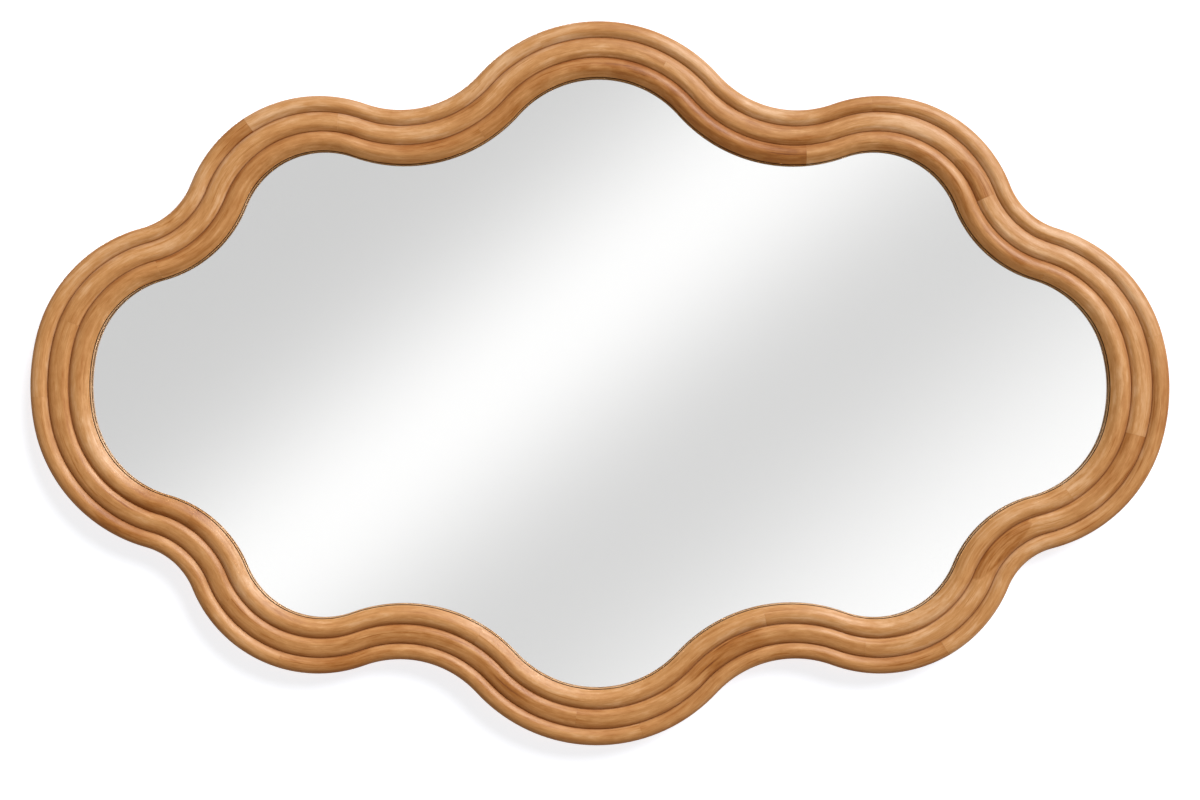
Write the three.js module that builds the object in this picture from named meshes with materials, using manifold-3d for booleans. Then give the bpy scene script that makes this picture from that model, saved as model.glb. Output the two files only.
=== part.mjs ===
// A wavy wall mirror with a reeded wooden frame, in millimetres.
//
// The frame is three nested rings of wood glued side by side. Each ring has a rounded front (a reed)
// and is built up from eight shaped staves, and the joints of one ring are stepped against the next.
// The inner ring is cut back behind its reed to hold the silvered glass, with a sheet of card behind
// it and a back panel screwed over both. Two D-rings on strap plates hang the mirror on the wall, and
// four rubber pads keep its back off the wall.
//
// X runs to the right and Z up as seen from the front. Y runs from the face back to the wall.
// The origin is on the wall, behind the middle of the mirror.

import * as THREE from 'three';
import { mergeVertices } from 'three/addons/utils/BufferGeometryUtils.js';
import Module from 'manifold-3d';

const wasm = await Module();
wasm.setup();

// ---- Driving dimensions ----

// The middle line of the frame is a closed chain of arcs, clockwise from the top as seen from the
// front. Each lobe bulges outwards round its own centre. The link after a lobe touches that lobe and
// the next one: a valley curves the other way, and an end is a wider bulge that holds both lobes.
const LOBES = [
  { x: -1, z: 212, radius: 141, link: 'valley', linkRadius: 137 }, // top
  { x: 293, z: 156, radius: 119, link: 'valley', linkRadius: 103 }, // upper right
  { x: 433, z: 9, radius: 134, link: 'end', linkRadius: 180 }, // right, above the end arc
  { x: 434, z: -16, radius: 133, link: 'valley', linkRadius: 95 }, // right, below the end arc
  { x: 293, z: -157, radius: 118, link: 'valley', linkRadius: 139 }, // lower right
  { x: -3, z: -206, radius: 144, link: 'valley', linkRadius: 136 }, // bottom
  { x: -294, z: -160, radius: 115, link: 'valley', linkRadius: 101 }, // lower left
  { x: -430, z: -12, radius: 137, link: 'end', linkRadius: 197 }, // left, below the end arc
  { x: -439, z: 15, radius: 127, link: 'valley', linkRadius: 104 }, // left, above the end arc
  { x: -293, z: 158, radius: 117, link: 'valley', linkRadius: 137 }, // upper left
];

// Offsets across the frame from the middle line, outwards positive. The frame is a little wider
// where it stands further from the middle of the mirror: an offset of 1 mm moves a point outwards
// by 1 mm and also scales its place by the growth.
const OUTER_EDGE = 27;
const OUTER_GROOVE = 11.5;
const INNER_GROOVE = -7.2;
const INNER_EDGE = -27;
const GROWTH = 0.000335;

// Heights above the back of the frame, towards the face.
const INNER_RING_BACK = 12;
const GLASS_FACE = 18.5;
const GLASS_THICKNESS = 4;
const CARD_THICKNESS = 1.9;
const PANEL_THICKNESS = 4.8;
const REBATE_WALL = -19.5;

// Each reed falls away from its crest. Outwards it is part of an ellipse: the ellipse's half height,
// and the angle at which the reed ends above the ellipse's widest place. Inwards it is a ramp with a
// rounded top: how steep the ramp gets, and the width of the rounding.
const OUTER_REED = {
  crest: { across: 17.95, height: 28 },
  outside: { halfHeight: 7, end: 0 },
  inside: { steepness: 0.85, rounding: 3.2 },
};
const MIDDLE_REED = {
  crest: { across: -0.9, height: 29 },
  outside: { halfHeight: 6.4, end: THREE.MathUtils.degToRad(14) },
  inside: { steepness: 0.95, rounding: 3.6 },
};
const INNER_REED = {
  crest: { across: -16.55, height: 30 },
  outside: { halfHeight: 13, end: THREE.MathUtils.degToRad(38) },
  inside: { steepness: 0.75, rounding: 4.4 },
};
const REED_STEPS = 4;

// A fine groove parts the inner reed from a narrow lip that stands over the edge of the glass.
const LIP_GROOVE = { outside: -25.9, inside: -26.4, height: 22.4 };
const LIP_TOP = 23.6;

// Where the staves of each ring meet, as distances along the middle line from the start of the top lobe.
const OUTER_JOINTS = [63, 434, 813, 1218, 1562, 1958, 2328, 2691];
const MIDDLE_JOINTS = [190, 587, 912, 1293, 1625, 2032, 2406, 2776];
const INNER_JOINTS = [364, 686, 1009, 1397, 1759, 2122, 2522, 2923];

const ARC_STEP = THREE.MathUtils.degToRad(11);
const CLOSEST_STATIONS = 5;

const GLUE_GAP = 0.3;
const LAY_GAP = 0.2;
const GLASS_PLAY = 0.8;
const CARD_PLAY = 1.3;
const PANEL_PLAY = 0.9;

const PAD_THICKNESS = 6;
const PAD_RADIUS = 6;
const PAD_FACE_RADIUS = 5.2;
const PAD_OFFSET = 19.3;
const PAD_LOBES = [
  { name: 'wall_pad_upper_right', lobe: 1 },
  { name: 'wall_pad_lower_right', lobe: 4 },
  { name: 'wall_pad_lower_left', lobe: 6 },
  { name: 'wall_pad_upper_left', lobe: 9 },
];

const HANGER_X = 397;
const HANGER_Z = 251;
const STRAP_WIDTH = 12;
const STRAP_LENGTH = 44;
const STRAP_THICKNESS = 1.2;
const EYE_RADIUS = 2.7;
const EYE_BORE = 1.5;
const STRAP_SCREW_DROPS = [24, 36];
const RING_WIRE = 1.3;
const RING_HALF_WIDTH = 10.3;
const RING_LEG = 5;
const RING_BEND_POINTS = 8;
const RING_STEPS = 14;
const EYE_SIDES = 16;

const SCREW = { shank: 1.75, head: 3.5, crown: 2.4, headHeight: 2.1, tip: 3, hole: 2.1 };
const PANEL_SCREW_LENGTH = 11;
const STRAP_SCREW_LENGTH = 14;
const PANEL_SCREW_OFFSET = -13.6;
const PANEL_SCREWS = 12;
const FIRST_PANEL_SCREW = 70;
const DRILL_SPARE = 1;
const ROUND_SIDES = 12;
const WIRE_SIDES = 10;

// Meshes cut or joined as solids have their corners merged within this distance.
const MERGE = 0.001;

// The back of the frame stands off the wall by the thickness of the pads.
const BACK_Y = -PAD_THICKNESS;

// ---- Materials ----

function finish(colour, roughness, metalness) {
  return new THREE.MeshStandardMaterial({ color: colour, roughness, metalness });
}

const WOOD = finish(0xc08a5a, 0.45, 0);
const MIRROR = finish(0xe9ecee, 0.03, 1);
const CARD = finish(0xb39a75, 0.95, 0);
const BOARD = finish(0x8a6a4a, 0.85, 0);
const STEEL = finish(0xc2c4c6, 0.35, 1);
const RUBBER = finish(0xd8d8d4, 0.6, 0);

// ---- The middle line ----

function bearing(from, to) {
  return Math.atan2(to.z - from.z, to.x - from.x);
}

// The centre of the arc that touches a lobe and the next one.
function linkCentre(lobe, next) {
  const side = lobe.link === 'valley' ? 1 : -1;
  const fromLobe = lobe.linkRadius + side * lobe.radius;
  const fromNext = lobe.linkRadius + side * next.radius;
  const gap = Math.hypot(next.x - lobe.x, next.z - lobe.z);
  const along = (gap ** 2 + fromLobe ** 2 - fromNext ** 2) / (2 * gap);
  const across = side * Math.sqrt(fromLobe ** 2 - along ** 2);
  const towards = { x: (next.x - lobe.x) / gap, z: (next.z - lobe.z) / gap };
  return {
    x: lobe.x + along * towards.x - across * towards.z,
    z: lobe.z + along * towards.z + across * towards.x,
  };
}

// turn is -1 for a bulge, which runs clockwise, and 1 for a valley.
function makeArc(centre, radius, from, to, turn) {
  const sweep = turn * THREE.MathUtils.euclideanModulo(turn * (to - from), 2 * Math.PI);
  return { centre, radius, from, sweep, turn, length: radius * Math.abs(sweep) };
}

function frameArcs() {
  const count = LOBES.length;
  const centres = LOBES.map((lobe, i) => linkCentre(lobe, LOBES[(i + 1) % count]));
  const contact = (lobe, centre, link) =>
    link === 'valley' ? bearing(lobe, centre) : bearing(centre, lobe);
  const arcs = [];
  LOBES.forEach((lobe, i) => {
    const before = (i + count - 1) % count;
    const next = LOBES[(i + 1) % count];
    const from = contact(lobe, centres[before], LOBES[before].link);
    const to = contact(lobe, centres[i], lobe.link);
    arcs.push(makeArc(lobe, lobe.radius, from, to, -1));
    const turn = lobe.link === 'valley' ? 1 : -1;
    const leave = bearing(centres[i], lobe);
    const arrive = bearing(centres[i], next);
    arcs.push(makeArc(centres[i], lobe.linkRadius, leave, arrive, turn));
  });
  let start = 0;
  for (const arc of arcs) {
    arc.start = start;
    start += arc.length;
  }
  return arcs;
}

const ARCS = frameArcs();
const LINE_LENGTH = ARCS.at(-1).start + ARCS.at(-1).length;

// The point at a distance along the middle line and an offset across it.
function place(distance, offset) {
  const along = THREE.MathUtils.euclideanModulo(distance, LINE_LENGTH);
  const arc = ARCS.findLast((one) => one.start <= along);
  const angle = arc.from + (arc.sweep * (along - arc.start)) / arc.length;
  const radius = arc.radius - arc.turn * offset;
  const scale = 1 + GROWTH * offset;
  return {
    x: scale * (arc.centre.x + radius * Math.cos(angle)),
    z: scale * (arc.centre.z + radius * Math.sin(angle)),
  };
}

// Distances at which the frame has a cross-section: every joint, and even steps round each arc.
function frameStations() {
  const joints = [...OUTER_JOINTS, ...MIDDLE_JOINTS, ...INNER_JOINTS];
  const even = ARCS.flatMap((arc) => {
    const steps = Math.ceil(Math.abs(arc.sweep) / ARC_STEP);
    return Array.from({ length: steps }, (_, i) => arc.start + (arc.length * i) / steps);
  });
  const free = even.filter((at) => joints.every((joint) => Math.abs(joint - at) > CLOSEST_STATIONS));
  return [...joints, ...free].sort((a, b) => a - b);
}

const STATIONS = frameStations();

// ---- Solids ----

function toSolid(geometry) {
  const bare = geometry.clone();
  bare.deleteAttribute('normal');
  bare.deleteAttribute('uv');
  const merged = mergeVertices(bare, MERGE);
  const vertProperties = Float32Array.from(merged.attributes.position.array);
  const triVerts = Uint32Array.from(merged.index.array);
  return new wasm.Manifold(new wasm.Mesh({ numProp: 3, vertProperties, triVerts }));
}

function toGeometry(solid) {
  const { vertProperties, triVerts } = solid.getMesh();
  const geometry = new THREE.BufferGeometry();
  geometry.setAttribute('position', new THREE.BufferAttribute(vertProperties, 3));
  geometry.setIndex(new THREE.BufferAttribute(triVerts, 1));
  return geometry.toNonIndexed();
}

function named(name, geometry, material) {
  geometry.computeVertexNormals();
  const mesh = new THREE.Mesh(geometry, material);
  mesh.name = name;
  return mesh;
}

// A rod with its middle at the origin, along Y.
function rod(radius, length, sides = ROUND_SIDES) {
  return new THREE.CylinderGeometry(radius, radius, length, sides);
}

// A flat plate inside the frame, from one height above the frame's back to another.
function plate(offset, low, high, holes = []) {
  const outline = STATIONS.map((at) => place(at, offset));
  const shape = new THREE.Shape(outline.map((point) => new THREE.Vector2(point.x, point.z)));
  shape.holes = holes.map((hole) => new THREE.Path().absarc(hole.x, hole.z, hole.radius, 0, 2 * Math.PI));
  const settings = { depth: high - low, bevelEnabled: false, curveSegments: ROUND_SIDES / 2 };
  const geometry = new THREE.ExtrudeGeometry(shape, settings);
  geometry.rotateX(Math.PI / 2);
  geometry.translate(0, BACK_Y - low, 0);
  return geometry;
}

// ---- The staves ----

// The outer side of a reed, from its edge up to its crest.
function outerSide({ crest, outside }, edge) {
  const halfWidth = (edge - crest.across) / Math.cos(outside.end);
  return Array.from({ length: REED_STEPS + 1 }, (_, i) => {
    const angle = THREE.MathUtils.lerp(outside.end, Math.PI / 2, i / REED_STEPS);
    const drop = outside.halfHeight * (1 - Math.sin(angle));
    return new THREE.Vector2(crest.across + halfWidth * Math.cos(angle), crest.height - drop);
  });
}

// The inner side of a reed, from its crest down to its edge.
function innerSide({ crest, inside }, edge) {
  return Array.from({ length: REED_STEPS + 1 }, (_, i) => {
    const across = ((crest.across - edge) * i) / REED_STEPS;
    const drop = inside.steepness * (Math.hypot(across, inside.rounding) - inside.rounding);
    return new THREE.Vector2(crest.across - across, crest.height - drop);
  });
}

// The front of a ring, over its reed from the outer edge to the inner edge.
function reedFront(reed, outer, inner) {
  return [...outerSide(reed, outer), ...innerSide(reed, inner).slice(1)];
}

function outerSection() {
  const inner = OUTER_GROOVE + GLUE_GAP / 2;
  const corners = [new THREE.Vector2(inner, 0), new THREE.Vector2(OUTER_EDGE, 0)];
  return [...corners, ...reedFront(OUTER_REED, OUTER_EDGE, inner)];
}

function middleSection() {
  const outer = OUTER_GROOVE - GLUE_GAP / 2;
  const inner = INNER_GROOVE + GLUE_GAP / 2;
  const corners = [new THREE.Vector2(inner, 0), new THREE.Vector2(outer, 0)];
  return [...corners, ...reedFront(MIDDLE_REED, outer, inner)];
}

function innerSection() {
  const outer = INNER_GROOVE - GLUE_GAP / 2;
  const rebateTop = GLASS_FACE + LAY_GAP;
  return [
    new THREE.Vector2(REBATE_WALL, INNER_RING_BACK),
    new THREE.Vector2(outer, INNER_RING_BACK),
    ...reedFront(INNER_REED, outer, LIP_GROOVE.outside),
    new THREE.Vector2(LIP_GROOVE.outside, LIP_GROOVE.height),
    new THREE.Vector2(LIP_GROOVE.inside, LIP_GROOVE.height),
    new THREE.Vector2(LIP_GROOVE.inside, LIP_TOP),
    new THREE.Vector2(INNER_EDGE, LIP_TOP),
    new THREE.Vector2(INNER_EDGE, rebateTop),
    new THREE.Vector2(REBATE_WALL, rebateTop),
  ];
}

// Carries a section along the middle line from one joint to the next.
function stave(section, from, to) {
  const end = to > from ? to : to + LINE_LENGTH;
  const wrapped = [...STATIONS, ...STATIONS.map((at) => at + LINE_LENGTH)];
  const between = wrapped.filter((at) => at > from && at < end);
  const stations = [from + GLUE_GAP / 2, ...between, end - GLUE_GAP / 2];
  const steps = stations.length - 1;
  const geometry = new THREE.ExtrudeGeometry(new THREE.Shape(section), {
    depth: steps,
    steps,
    bevelEnabled: false,
  });
  const points = geometry.attributes.position;
  for (let i = 0; i < points.count; i += 1) {
    const { x, z } = place(stations[Math.round(points.getZ(i))], points.getX(i));
    points.setXYZ(i, x, BACK_Y - points.getY(i), z);
  }
  return geometry;
}

function drilled(geometry, drills) {
  let solid = toSolid(geometry);
  let cut = false;
  for (const drill of drills) {
    if (!solid.intersect(drill).isEmpty()) {
      solid = solid.subtract(drill);
      cut = true;
    }
  }
  return cut ? toGeometry(solid) : geometry;
}

function ring(name, section, joints, drills) {
  const group = new THREE.Group();
  joints.forEach((joint, i) => {
    const geometry = stave(section, joint, joints[(i + 1) % joints.length]);
    group.add(named(`${name}_stave_${i + 1}`, drilled(geometry, drills), WOOD));
  });
  return group;
}

// ---- Screws ----

// A round-headed wood screw along Y, seated at the origin with its head towards the wall.
function screwGeometry(length) {
  const profile = [
    [0, -length],
    [SCREW.shank, SCREW.tip - length],
    [SCREW.shank, 0],
    [SCREW.head, 0],
    [SCREW.head, SCREW.headHeight / 2],
    [SCREW.crown, SCREW.headHeight],
    [0, SCREW.headHeight],
  ];
  return new THREE.LatheGeometry(profile.map(([r, y]) => new THREE.Vector2(r, y)), ROUND_SIDES);
}

function screw(name, length, seat) {
  const mesh = named(name, screwGeometry(length), STEEL);
  mesh.position.set(seat.x, seat.y, seat.z);
  return mesh;
}

// The hole that a screw needs in the wood, from its seat inwards.
function drill(length, seat) {
  const depth = length + DRILL_SPARE;
  const hole = rod(SCREW.hole, depth);
  hole.translate(seat.x, seat.y - depth / 2, seat.z);
  return toSolid(hole);
}

// ---- Back panel and its screws ----

const PANEL_LOW = INNER_RING_BACK - LAY_GAP - PANEL_THICKNESS;

function panelSeats() {
  return Array.from({ length: PANEL_SCREWS }, (_, i) => {
    const at = FIRST_PANEL_SCREW + (LINE_LENGTH * i) / PANEL_SCREWS;
    return { ...place(at, PANEL_SCREW_OFFSET), y: BACK_Y - PANEL_LOW + LAY_GAP };
  });
}

function glassPack(seats) {
  const group = new THREE.Group();
  const glassBack = GLASS_FACE - GLASS_THICKNESS;
  const cardFront = glassBack - LAY_GAP;
  const holes = seats.map((seat) => ({ x: seat.x, z: seat.z, radius: SCREW.hole }));
  const glass = plate(REBATE_WALL - GLASS_PLAY, glassBack, GLASS_FACE);
  const card = plate(REBATE_WALL - CARD_PLAY, cardFront - CARD_THICKNESS, cardFront);
  const panel = plate(INNER_GROOVE - PANEL_PLAY, PANEL_LOW, PANEL_LOW + PANEL_THICKNESS, holes);
  group.add(named('mirror_glass', glass, MIRROR));
  group.add(named('backing_card', card, CARD));
  group.add(named('back_panel', panel, BOARD));
  seats.forEach((seat, i) => group.add(screw(`panel_screw_${i + 1}`, PANEL_SCREW_LENGTH, seat)));
  return group;
}

// ---- Hangers ----

const PIVOT_HEIGHT = LAY_GAP / 2 + EYE_RADIUS;

// The strap from its side: a flat strip, rolled at its top round the straight bar of the ring.
function strapSideShape() {
  const low = LAY_GAP / 2;
  const high = low + STRAP_THICKNESS;
  const meet = Math.acos((PIVOT_HEIGHT - high) / EYE_RADIUS);
  const shape = new THREE.Shape();
  shape.moveTo(low, -STRAP_LENGTH);
  shape.lineTo(low, 0);
  shape.absarc(PIVOT_HEIGHT, 0, EYE_RADIUS, Math.PI, meet - Math.PI, true);
  shape.lineTo(high, -STRAP_LENGTH);
  shape.holes.push(new THREE.Path().absarc(PIVOT_HEIGHT, 0, EYE_BORE, 0, 2 * Math.PI));
  return shape;
}

// The strap from the back: straight sides and a round lower end.
function strapBackShape() {
  const half = STRAP_WIDTH / 2;
  const shape = new THREE.Shape();
  shape.moveTo(half, STRAP_WIDTH);
  shape.lineTo(-half, STRAP_WIDTH);
  shape.absarc(0, half - STRAP_LENGTH, half, Math.PI, 2 * Math.PI);
  return shape;
}

function strapGeometry() {
  const settings = { bevelEnabled: false, curveSegments: EYE_SIDES / 2 };
  const right = new THREE.Vector3(1, 0, 0);
  const back = new THREE.Vector3(0, 1, 0);
  const up = new THREE.Vector3(0, 0, 1);
  const side = new THREE.ExtrudeGeometry(strapSideShape(), { ...settings, depth: STRAP_WIDTH });
  side.translate(0, 0, -STRAP_WIDTH / 2);
  side.applyMatrix4(new THREE.Matrix4().makeBasis(back, up, right));
  const thick = 4 * EYE_RADIUS;
  const plan = new THREE.ExtrudeGeometry(strapBackShape(), { ...settings, depth: thick });
  plan.rotateX(Math.PI / 2);
  plan.translate(0, PIVOT_HEIGHT + thick / 2, 0);
  let solid = toSolid(side).intersect(toSolid(plan));
  for (const drop of STRAP_SCREW_DROPS) {
    const hole = rod(SCREW.hole, thick);
    hole.translate(0, 0, -drop);
    solid = solid.subtract(toSolid(hole));
  }
  return toGeometry(solid);
}

// The line that the ring's wire follows below its straight bar: a leg, a half circle and a leg.
function ringPath() {
  const bend = Array.from({ length: RING_BEND_POINTS + 1 }, (_, i) => {
    const angle = Math.PI * (1 + i / RING_BEND_POINTS);
    const x = RING_HALF_WIDTH * Math.cos(angle);
    const z = RING_HALF_WIDTH * Math.sin(angle) - RING_LEG;
    return new THREE.Vector3(x, 0, z);
  });
  const first = new THREE.Vector3(-RING_HALF_WIDTH, 0, 0);
  const last = new THREE.Vector3(RING_HALF_WIDTH, 0, 0);
  return new THREE.CatmullRomCurve3([first, ...bend, last], false, 'centripetal');
}

// The D-ring hanging down from its bar, with the bar's axis through the origin along X.
function ringGeometry() {
  const round = new THREE.Shape().absarc(0, 0, RING_WIRE, 0, 2 * Math.PI);
  const bow = new THREE.ExtrudeGeometry(round, {
    steps: RING_STEPS,
    curveSegments: WIRE_SIDES / 2,
    bevelEnabled: false,
    extrudePath: ringPath(),
  });
  const bar = rod(RING_WIRE, 2 * RING_HALF_WIDTH, WIRE_SIDES);
  bar.rotateZ(Math.PI / 2);
  let solid = toSolid(bow).add(toSolid(bar));
  for (const x of [-RING_HALF_WIDTH, RING_HALF_WIDTH]) {
    const corner = new THREE.SphereGeometry(RING_WIRE, WIRE_SIDES, WIRE_SIDES / 2);
    corner.translate(x, 0, 0);
    solid = solid.add(toSolid(corner));
  }
  return toGeometry(solid);
}

function strapSeats(x) {
  const seatY = BACK_Y + LAY_GAP + STRAP_THICKNESS;
  return STRAP_SCREW_DROPS.map((drop) => ({ x, y: seatY, z: HANGER_Z - drop }));
}

function hanger(side, x) {
  const group = new THREE.Group();
  const strap = named(`hanger_strap_${side}`, strapGeometry(), STEEL);
  strap.position.set(x, BACK_Y, HANGER_Z);
  const dRing = named(`hanger_ring_${side}`, ringGeometry(), STEEL);
  dRing.position.set(x, BACK_Y + PIVOT_HEIGHT, HANGER_Z);
  group.add(strap, dRing);
  strapSeats(x).forEach((seat, i) => {
    group.add(screw(`hanger_screw_${side}_${i + 1}`, STRAP_SCREW_LENGTH, seat));
  });
  return group;
}

// ---- Pads ----

function padGeometry() {
  const profile = [
    [0, LAY_GAP],
    [PAD_RADIUS, LAY_GAP],
    [PAD_RADIUS, PAD_THICKNESS / 2],
    [PAD_FACE_RADIUS, PAD_THICKNESS],
    [0, PAD_THICKNESS],
  ];
  return new THREE.LatheGeometry(profile.map(([r, y]) => new THREE.Vector2(r, y)), 2 * ROUND_SIDES);
}

function wallPads() {
  const group = new THREE.Group();
  for (const { name, lobe } of PAD_LOBES) {
    const arc = ARCS[2 * lobe];
    const { x, z } = place(arc.start + arc.length / 2, PAD_OFFSET);
    const pad = named(name, padGeometry(), RUBBER);
    pad.position.set(x, BACK_Y, z);
    group.add(pad);
  }
  return group;
}

// ---- The whole mirror ----

function mirror() {
  const seats = panelSeats();
  const panelDrills = seats.map((seat) => drill(PANEL_SCREW_LENGTH, seat));
  const hangerSeats = [-HANGER_X, HANGER_X].flatMap(strapSeats);
  const strapDrills = hangerSeats.map((seat) => drill(STRAP_SCREW_LENGTH, seat));
  const group = new THREE.Group();
  group.name = 'wavy_mirror';
  group.add(ring('outer', outerSection(), OUTER_JOINTS, strapDrills));
  group.add(ring('middle', middleSection(), MIDDLE_JOINTS, strapDrills));
  group.add(ring('inner', innerSection(), INNER_JOINTS, panelDrills));
  group.add(glassPack(seats));
  group.add(hanger('left', -HANGER_X), hanger('right', HANGER_X));
  group.add(wallPads());
  return group;
}

export default mirror();
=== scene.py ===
import math
import random

import bmesh
import bpy
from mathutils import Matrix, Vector


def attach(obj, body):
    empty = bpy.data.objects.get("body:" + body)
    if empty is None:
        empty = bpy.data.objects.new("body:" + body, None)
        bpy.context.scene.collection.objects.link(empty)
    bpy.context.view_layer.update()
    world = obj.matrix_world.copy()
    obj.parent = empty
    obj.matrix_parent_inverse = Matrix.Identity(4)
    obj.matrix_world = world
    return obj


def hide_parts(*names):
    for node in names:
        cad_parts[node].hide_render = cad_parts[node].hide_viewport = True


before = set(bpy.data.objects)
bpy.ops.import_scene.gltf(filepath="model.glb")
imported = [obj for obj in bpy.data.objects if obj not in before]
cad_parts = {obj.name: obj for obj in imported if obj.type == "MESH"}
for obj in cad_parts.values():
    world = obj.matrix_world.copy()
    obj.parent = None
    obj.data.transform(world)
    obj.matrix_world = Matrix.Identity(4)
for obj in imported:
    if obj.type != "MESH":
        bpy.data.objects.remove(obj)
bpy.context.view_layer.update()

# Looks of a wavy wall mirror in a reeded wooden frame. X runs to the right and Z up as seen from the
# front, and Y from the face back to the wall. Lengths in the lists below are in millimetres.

MM = 0.001

# ---- The middle line of the frame ----

# Clockwise from the top: x, z and radius of a lobe, then the arc that links it to the next one. A
# valley curves the other way, and an end is a wider bulge that holds both lobes.
LOBES = [
    (-1, 212, 141, "valley", 137),
    (293, 156, 119, "valley", 103),
    (433, 9, 134, "end", 180),
    (434, -16, 133, "valley", 95),
    (293, -157, 118, "valley", 139),
    (-3, -206, 144, "valley", 136),
    (-294, -160, 115, "valley", 101),
    (-430, -12, 137, "end", 197),
    (-439, 15, 127, "valley", 104),
    (-293, 158, 117, "valley", 137),
]

# Offsets across the frame from the middle line, outwards positive. An offset also scales a point's
# place a little, because the frame is wider where it stands further out.
OUTER_EDGE = 27
OUTER_GROOVE = 11.5
INNER_GROOVE = -7.2
INNER_EDGE = -27.0
GROWTH = 0.000335

# Heights above the back of the frame, which stands off the wall by the pads.
BACK_Y = -6
INNER_RING_BACK = 12
GLASS_FACE = 18.5
GLASS_BACK = 14.5
PAINT_BACK = 14.38
CARD_FRONT = 14.3
CARD_BACK = 12.4
PANEL_FRONT = 11.8
PANEL_BACK = 7
LIP = 18.7
REBATE_WALL = -19.5
GLASS_OFFSET = -20.3
CARD_OFFSET = -20.8
PANEL_OFFSET = -8.1

# Each reed falls away from its crest. On the outer side it is part of an ellipse: the half height, and
# the angle at which it ends above the ellipse's widest place. On the inner side it is a ramp with a
# rounded top: how steep the ramp gets, and the width of the rounding.
REEDS = {
    "outer": {"crest": (17.95, 28), "outer_side": (7, 0), "inner_side": (0.85, 3.2)},
    "middle": {"crest": (-0.9, 29), "outer_side": (6.4, 14), "inner_side": (0.95, 3.6)},
    "inner": {"crest": (-16.55, 30), "outer_side": (13, 38), "inner_side": (0.75, 4.4)},
}
REED_STEPS = 11

# A fine groove parts the inner reed from a narrow lip, which stands over the edge of the glass.
LIP_GROOVE = (-25.9, -26.4)
LIP_GROOVE_FLOOR = 22.4
LIP_TOP = 23.6

# Where the staves of each ring begin, as distances along the middle line.
RINGS = {
    "outer": [63, 434, 813, 1218, 1562, 1958, 2328, 2691],
    "middle": [190, 587, 912, 1293, 1625, 2032, 2406, 2776],
    "inner": [364, 686, 1009, 1397, 1759, 2122, 2522, 2923],
}

# How dark the wood of each stave is, from 0 to 1, in the order of the joints above. The tones of two
# staves run into each other at a joint, apart from the joints that show.
STAVE_TONES = {
    "outer": [0.30, 0.31, 0.38, 0.45, 0.46, 0.42, 0.36, 0.28],
    "middle": [0.38, 0.35, 0.36, 0.48, 0.51, 0.48, 0.36, 0.38],
    "inner": [0.49, 0.39, 0.33, 0.39, 0.39, 0.41, 0.49, 0.54],
}
CLEAR_JOINTS = {("middle", 587), ("middle", 912), ("outer", 1218), ("inner", 364), ("outer", 2691)}
TONE_BLEND = 60

# Darker and paler wood: ring, where it begins and ends along the middle line, how much darker it is,
# and the length over which it fades in and out. A fade of 0 at an end is a joint.
PATCHES = [
    ("outer", 90, 180, 0.12, 30, 30),
    ("outer", 235, 300, 0.15, 25, 30),
    ("outer", 370, 480, 0.18, 20, 50),
    ("outer", 620, 740, -0.10, 50, 50),
    ("outer", 830, 910, 0.10, 30, 30),
    ("outer", 1015, 1085, -0.12, 25, 20),
    ("outer", 1218, 1280, 0.12, 0, 40),
    ("outer", 1865, 1930, 0.12, 20, 30),
    ("outer", 2130, 2240, 0.20, 40, 50),
    ("outer", 2580, 2645, -0.10, 25, 20),
    ("outer", 2650, 2691, 0.16, 20, 0),
    ("middle", 230, 400, 0.09, 50, 40),
    ("middle", 420, 520, -0.14, 40, 40),
    ("middle", 587, 730, -0.08, 0, 50),
    ("middle", 912, 1010, 0.20, 0, 60),
    ("middle", 1015, 1070, -0.08, 20, 20),
    ("middle", 1390, 1500, 0.16, 30, 40),
    ("middle", 1660, 1760, 0.12, 30, 40),
    ("inner", 364, 460, -0.10, 0, 50),
    ("inner", 940, 1060, -0.08, 50, 50),
    ("inner", 1475, 1560, 0.09, 30, 40),
    ("inner", 1970, 2080, -0.10, 40, 40),
    ("inner", 2095, 2215, 0.24, 30, 50),
    ("inner", 2220, 2360, -0.08, 30, 60),
    ("inner", 110, 364, 0.12, 60, 0),
]

# Ovals of heartwood with a clear edge: ring, stave, distance, offset, half length and half width.
HEART_OVALS = [
    ("middle", 0, 596, -3, 60, 13),
    ("middle", 2, 1105, -9, 44, 20),
]
NO_OVAL = (9.0, 9.0, 0.0)

# Painted shade lies on the face alone, in the grooves, on the banks and at the outer edge: how much, from 0
# to 1, and over what width it fades. A bank is the side of the middle or inner reed that drops into the
# groove outside it.
PAINTED_SHADE_LOWEST = 20
GROOVE_PAINTED_SHADE, GROOVE_PAINTED_SHADE_FADE = 0.66, (0.1, 1.1)
RIM_PAINTED_SHADE, RIM_PAINTED_SHADE_FADE = 0.22, (21.5, 25.5)
OUTER_REED_PAINTED_SHADE, OUTER_REED_PAINTED_SHADE_FADE = 0.2, (0, 3)
BANK_PAINTED_SHADE, BANK_PAINTED_SHADE_PER_MM = 0.46, 0.10

# The lip is raw wood, duller than the face and painted paler, painted light where it sits in shade; the
# sides and back are duller too.
LIP_PAINTED_LIGHT = 0.2
LIP_DULL = 0.5
SIDE_DULL, SIDE_DULL_FADE = 0.25, (14, 20)

ARC_STEP = math.radians(2.5)
JOINT_GAP = 0.06
BACK_EASE = 1.4
EASE_STEPS = 4
EDGE_ANGLE = math.radians(38)

# The panel's screws stand at even distances along the middle line.
PANEL_SCREWS = 12
FIRST_PANEL_SCREW = 70
PANEL_SCREW_OFFSET = -13.6
PANEL_SEAT_Y = -12.8
STRAP_SEAT_Y = -4.6
SCREW_HOLE = 2.1
DRILL_SIDES = 32
SCREW_SIDES = 40
SCREW_LENGTHS = {"panel": 11, "strap": 14}

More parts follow.
